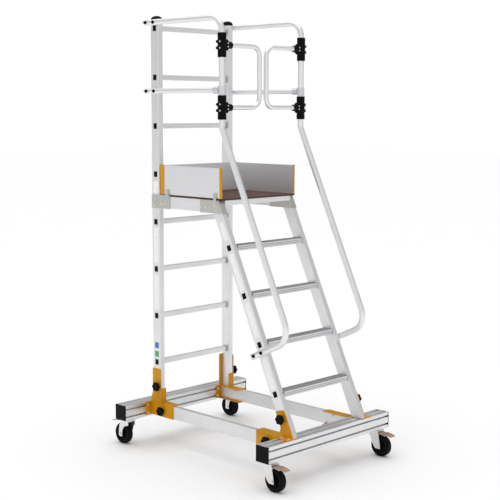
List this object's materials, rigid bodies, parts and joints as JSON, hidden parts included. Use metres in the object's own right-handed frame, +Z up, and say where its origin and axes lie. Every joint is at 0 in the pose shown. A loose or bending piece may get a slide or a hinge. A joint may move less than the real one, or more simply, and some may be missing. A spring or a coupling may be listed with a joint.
{
  "type": "rolling warehouse ladder",
  "caption": "Rolling access ladder: leaning stair with flat treads, railed platform with toe boards and swing gates, upright rung frame, slotted beam base on braked swivel casters.",
  "frame": {"origin": "on the floor, under the middle of the base", "axes": "+Z up, +Y the way a person climbs (the stair's foot is at -Y, the upright frame at +Y), +X to the climber's right"},
  "size_m": [1.014, 1.42, 2.526],
  "materials": {
    "aluminium_profile": "satin mill-finished extrusion",
    "rung_aluminium": "satin mill-finished tube",
    "tread_aluminium": "ribbed satin extrusion",
    "beam_extrusion": "anodised slotted extrusion",
    "tube_aluminium": "satin round tube",
    "tee_casting": "cast, bead blasted",
    "black_plastic": "fine moulded texture",
    "hinge_plastic": "fine moulded texture",
    "bracket_yellow": "satin powder coat",
    "edge_yellow": "satin",
    "toe_board_panel": "brushed sheet",
    "deck_ply": "film-faced plywood with wire-mesh texture",
    "gusset_steel": "zinc plated, dull",
    "zinc_bolt": "zinc plated",
    "caster_zinc": "bright zinc plated pressing",
    "pedal_steel": "yellow-passivated pressing",
    "tyre_rubber": "solid rubber",
    "rim_plastic": "moulded nylon",
    "knob_plastic": "moulded",
    "label_white": "blank vinyl sticker",
    "label_blue": "blank vinyl sticker",
    "label_green": "blank vinyl sticker"
  },
  "bodies": {
    "root": {"left_rear_stile": "aluminium_profile", "right_rear_stile": "aluminium_profile", "left_front_stile": "aluminium_profile", "right_front_stile": "aluminium_profile", "left_side_rail": "aluminium_profile", "right_side_rail": "aluminium_profile", "deck_side_beams": "aluminium_profile", "deck_cross_beams": "aluminium_profile", "rear_rungs": "rung_aluminium", "stair_treads": "tread_aluminium", "front_cross_beam": "beam_extrusion", "rear_cross_beam": "beam_extrusion", "left_handrail": "tube_aluminium", "right_handrail": "tube_aluminium", "mid_rails": "tube_aluminium", "mid_rail_tees": "tee_casting", "beam_end_caps": "black_plastic", "end_plugs": "black_plastic", "gate_hinge_barrels": "hinge_plastic", "front_left_bracket": "bracket_yellow", "front_right_bracket": "bracket_yellow", "rear_left_bracket": "bracket_yellow", "rear_right_bracket": "bracket_yellow", "toe_board_edges": "edge_yellow", "left_toe_board": "toe_board_panel", "right_toe_board": "toe_board_panel", "rear_toe_board": "toe_board_panel", "deck_panel": "deck_ply", "deck_gussets": "gusset_steel", "toe_board_clips": "gusset_steel", "frame_bolts": "zinc_bolt", "caster_plates": "caster_zinc"},
    "front_left_caster": {"front_left_fork": "caster_zinc"},
    "front_left_wheel": {"front_left_tyre": "tyre_rubber", "front_left_rim": "rim_plastic"},
    "front_left_brake": {"front_left_brake_pedal": "pedal_steel"},
    "front_right_caster": {"front_right_fork": "caster_zinc"},
    "front_right_wheel": {"front_right_tyre": "tyre_rubber", "front_right_rim": "rim_plastic"},
    "front_right_brake": {"front_right_brake_pedal": "pedal_steel"},
    "rear_left_caster": {"rear_left_fork": "caster_zinc"},
    "rear_left_wheel": {"rear_left_tyre": "tyre_rubber", "rear_left_rim": "rim_plastic"},
    "rear_left_brake": {"rear_left_brake_pedal": "pedal_steel"},
    "rear_right_caster": {"rear_right_fork": "caster_zinc"},
    "rear_right_wheel": {"rear_right_tyre": "tyre_rubber", "rear_right_rim": "rim_plastic"},
    "rear_right_brake": {"rear_right_brake_pedal": "pedal_steel"},
    "left_gate": {"left_gate_leaf": "tube_aluminium", "left_gate_collars": "hinge_plastic"},
    "right_gate": {"right_gate_leaf": "tube_aluminium", "right_gate_collars": "hinge_plastic"},
    "front_left_rail_knob_body": {"front_left_rail_knob": "knob_plastic"},
    "front_left_stile_knob_body": {"front_left_stile_knob": "knob_plastic"},
    "front_right_rail_knob_body": {"front_right_rail_knob": "knob_plastic"},
    "front_right_stile_knob_body": {"front_right_stile_knob": "knob_plastic"},
    "rear_left_rail_knob_body": {"rear_left_rail_knob": "knob_plastic"},
    "rear_left_stile_knob_body": {"rear_left_stile_knob": "knob_plastic"},
    "rear_right_rail_knob_body": {"rear_right_rail_knob": "knob_plastic"},
    "rear_right_stile_knob_body": {"rear_right_stile_knob": "knob_plastic"}
  },
  "joints": [
    {"name": "front_left_swivel", "type": "hinge", "parent": "root", "child": "front_left_caster", "pos_m": [-0.445, -0.585, 0.15], "axis": [0, 0, 1], "continuous": true},
    {"name": "front_left_roll", "type": "hinge", "parent": "front_left_caster", "child": "front_left_wheel", "pos_m": [-0.445, -0.627, 0.0625], "axis": [1, 0, 0], "continuous": true},
    {"name": "front_left_brake_press", "type": "hinge", "parent": "front_left_caster", "child": "front_left_brake", "pos_m": [-0.445, -0.615, 0.136], "axis": [1, 0, 0], "range_deg": [0, 10]},
    {"name": "front_right_swivel", "type": "hinge", "parent": "root", "child": "front_right_caster", "pos_m": [0.445, -0.585, 0.15], "axis": [0, 0, 1], "continuous": true},
    {"name": "front_right_roll", "type": "hinge", "parent": "front_right_caster", "child": "front_right_wheel", "pos_m": [0.445, -0.627, 0.0625], "axis": [1, 0, 0], "continuous": true},
    {"name": "front_right_brake_press", "type": "hinge", "parent": "front_right_caster", "child": "front_right_brake", "pos_m": [0.445, -0.615, 0.136], "axis": [1, 0, 0], "range_deg": [0, 10]},
    {"name": "rear_left_swivel", "type": "hinge", "parent": "root", "child": "rear_left_caster", "pos_m": [-0.445, 0.585, 0.15], "axis": [0, 0, 1], "continuous": true},
    {"name": "rear_left_roll", "type": "hinge", "parent": "rear_left_caster", "child": "rear_left_wheel", "pos_m": [-0.445, 0.627, 0.0625], "axis": [1, 0, 0], "continuous": true},
    {"name": "rear_left_brake_press", "type": "hinge", "parent": "rear_left_caster", "child": "rear_left_brake", "pos_m": [-0.445, 0.615, 0.136], "axis": [-1, 0, 0], "range_deg": [0, 10]},
    {"name": "rear_right_swivel", "type": "hinge", "parent": "root", "child": "rear_right_caster", "pos_m": [0.445, 0.585, 0.15], "axis": [0, 0, 1], "continuous": true},
    {"name": "rear_right_roll", "type": "hinge", "parent": "rear_right_caster", "child": "rear_right_wheel", "pos_m": [0.445, 0.627, 0.0625], "axis": [1, 0, 0], "continuous": true},
    {"name": "rear_right_brake_press", "type": "hinge", "parent": "rear_right_caster", "child": "rear_right_brake", "pos_m": [0.445, 0.615, 0.136], "axis": [-1, 0, 0], "range_deg": [0, 10]},
    {"name": "left_gate_swing", "type": "hinge", "parent": "root", "child": "left_gate", "pos_m": [-0.318, -0.092, 2.17], "axis": [0, 0, 1], "range_deg": [0, 80]},
    {"name": "right_gate_swing", "type": "hinge", "parent": "root", "child": "right_gate", "pos_m": [0.318, -0.092, 2.17], "axis": [0, 0, -1], "range_deg": [0, 80]},
    {"name": "front_left_rail_knob_turn", "type": "hinge", "parent": "root", "child": "front_left_rail_knob_body", "pos_m": [-0.304, -0.435, 0.205], "axis": [-1, 0, 0], "range_deg": [0, 360]},
    {"name": "front_left_stile_knob_turn", "type": "hinge", "parent": "root", "child": "front_left_stile_knob_body", "pos_m": [-0.304, -0.54036, 0.347], "axis": [-1, 0, 0], "range_deg": [0, 360]},
    {"name": "front_right_rail_knob_turn", "type": "hinge", "parent": "root", "child": "front_right_rail_knob_body", "pos_m": [0.304, -0.435, 0.205], "axis": [1, 0, 0], "range_deg": [0, 360]},
    {"name": "front_right_stile_knob_turn", "type": "hinge", "parent": "root", "child": "front_right_stile_knob_body", "pos_m": [0.304, -0.54036, 0.347], "axis": [1, 0, 0], "range_deg": [0, 360]},
    {"name": "rear_left_rail_knob_turn", "type": "hinge", "parent": "root", "child": "rear_left_rail_knob_body", "pos_m": [-0.304, 0.435, 0.205], "axis": [-1, 0, 0], "range_deg": [0, 360]},
    {"name": "rear_left_stile_knob_turn", "type": "hinge", "parent": "root", "child": "rear_left_stile_knob_body", "pos_m": [-0.304, 0.472, 0.35], "axis": [-1, 0, 0], "range_deg": [0, 360]},
    {"name": "rear_right_rail_knob_turn", "type": "hinge", "parent": "root", "child": "rear_right_rail_knob_body", "pos_m": [0.304, 0.435, 0.205], "axis": [1, 0, 0], "range_deg": [0, 360]},
    {"name": "rear_right_stile_knob_turn", "type": "hinge", "parent": "root", "child": "rear_right_stile_knob_body", "pos_m": [0.304, 0.472, 0.35], "axis": [1, 0, 0], "range_deg": [0, 360]}
  ]
}
